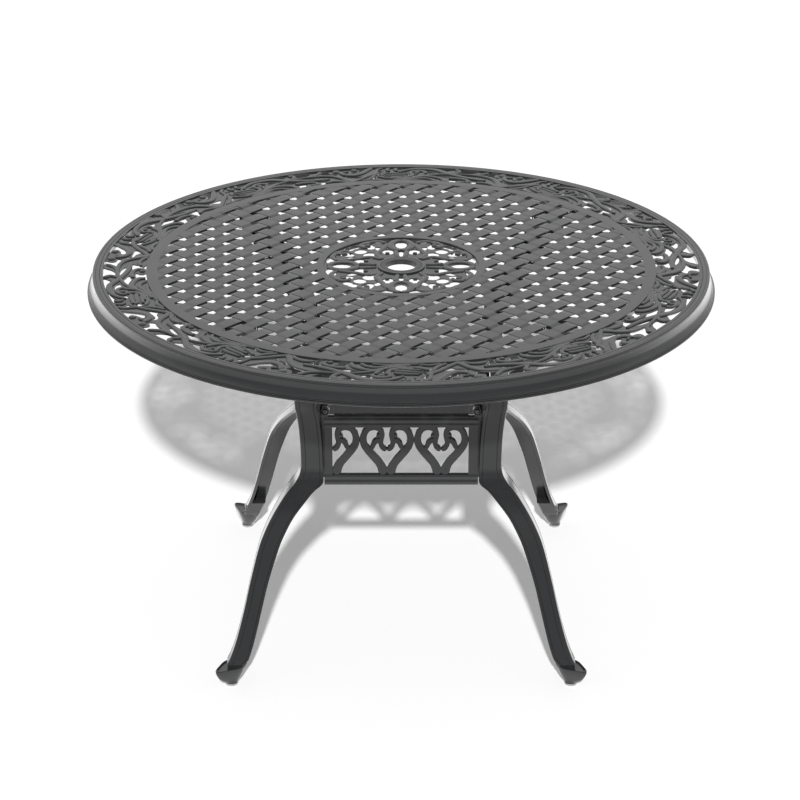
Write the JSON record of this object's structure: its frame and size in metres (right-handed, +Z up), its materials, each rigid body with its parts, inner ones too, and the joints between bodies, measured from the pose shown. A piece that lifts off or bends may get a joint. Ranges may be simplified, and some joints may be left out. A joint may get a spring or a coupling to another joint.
{
  "type": "umbrella patio table",
  "caption": "Round cast-metal patio table with a pierced woven and scrolled top, an umbrella hole, bowed legs and openwork side panels.",
  "frame": {"origin": "on the floor, under the middle of the table top", "axes": "+Z up; -Y is the side that faces the picture's camera; +X is to the right seen from there"},
  "size_m": [1.219, 1.219, 0.732],
  "materials": {
    "charcoal_powder_coat": "satin powder coat over a sand casting",
    "black_zinc_fastener": "black zinc plate, slightly worn",
    "grey_nylon_glide": "matte moulded nylon",
    "black_plastic_ring": "matte moulded plastic"
  },
  "bodies": {
    "root": {"top_rim": "charcoal_powder_coat", "top_grille": "charcoal_powder_coat", "umbrella_ring": "black_plastic_ring", "leg_front_left": "charcoal_powder_coat", "foot_glide_front_left": "grey_nylon_glide", "leg_bolt_front_left_1": "black_zinc_fastener", "leg_bolt_front_left_2": "black_zinc_fastener", "upper_screw_front_left_x": "black_zinc_fastener", "upper_screw_front_left_y": "black_zinc_fastener", "lower_screw_front_left_x": "black_zinc_fastener", "lower_screw_front_left_y": "black_zinc_fastener", "leg_front_right": "charcoal_powder_coat", "foot_glide_front_right": "grey_nylon_glide", "leg_bolt_front_right_1": "black_zinc_fastener", "leg_bolt_front_right_2": "black_zinc_fastener", "upper_screw_front_right_x": "black_zinc_fastener", "upper_screw_front_right_y": "black_zinc_fastener", "lower_screw_front_right_x": "black_zinc_fastener", "lower_screw_front_right_y": "black_zinc_fastener", "leg_rear_left": "charcoal_powder_coat", "foot_glide_rear_left": "grey_nylon_glide", "leg_bolt_rear_left_1": "black_zinc_fastener", "leg_bolt_rear_left_2": "black_zinc_fastener", "upper_screw_rear_left_x": "black_zinc_fastener", "upper_screw_rear_left_y": "black_zinc_fastener", "lower_screw_rear_left_x": "black_zinc_fastener", "lower_screw_rear_left_y": "black_zinc_fastener", "leg_rear_right": "charcoal_powder_coat", "foot_glide_rear_right": "grey_nylon_glide", "leg_bolt_rear_right_1": "black_zinc_fastener", "leg_bolt_rear_right_2": "black_zinc_fastener", "upper_screw_rear_right_x": "black_zinc_fastener", "upper_screw_rear_right_y": "black_zinc_fastener", "lower_screw_rear_right_x": "black_zinc_fastener", "lower_screw_rear_right_y": "black_zinc_fastener", "heart_panel_front": "charcoal_powder_coat", "heart_panel_right": "charcoal_powder_coat", "heart_panel_rear": "charcoal_powder_coat", "heart_panel_left": "charcoal_powder_coat"}
  },
  "joints": []
}
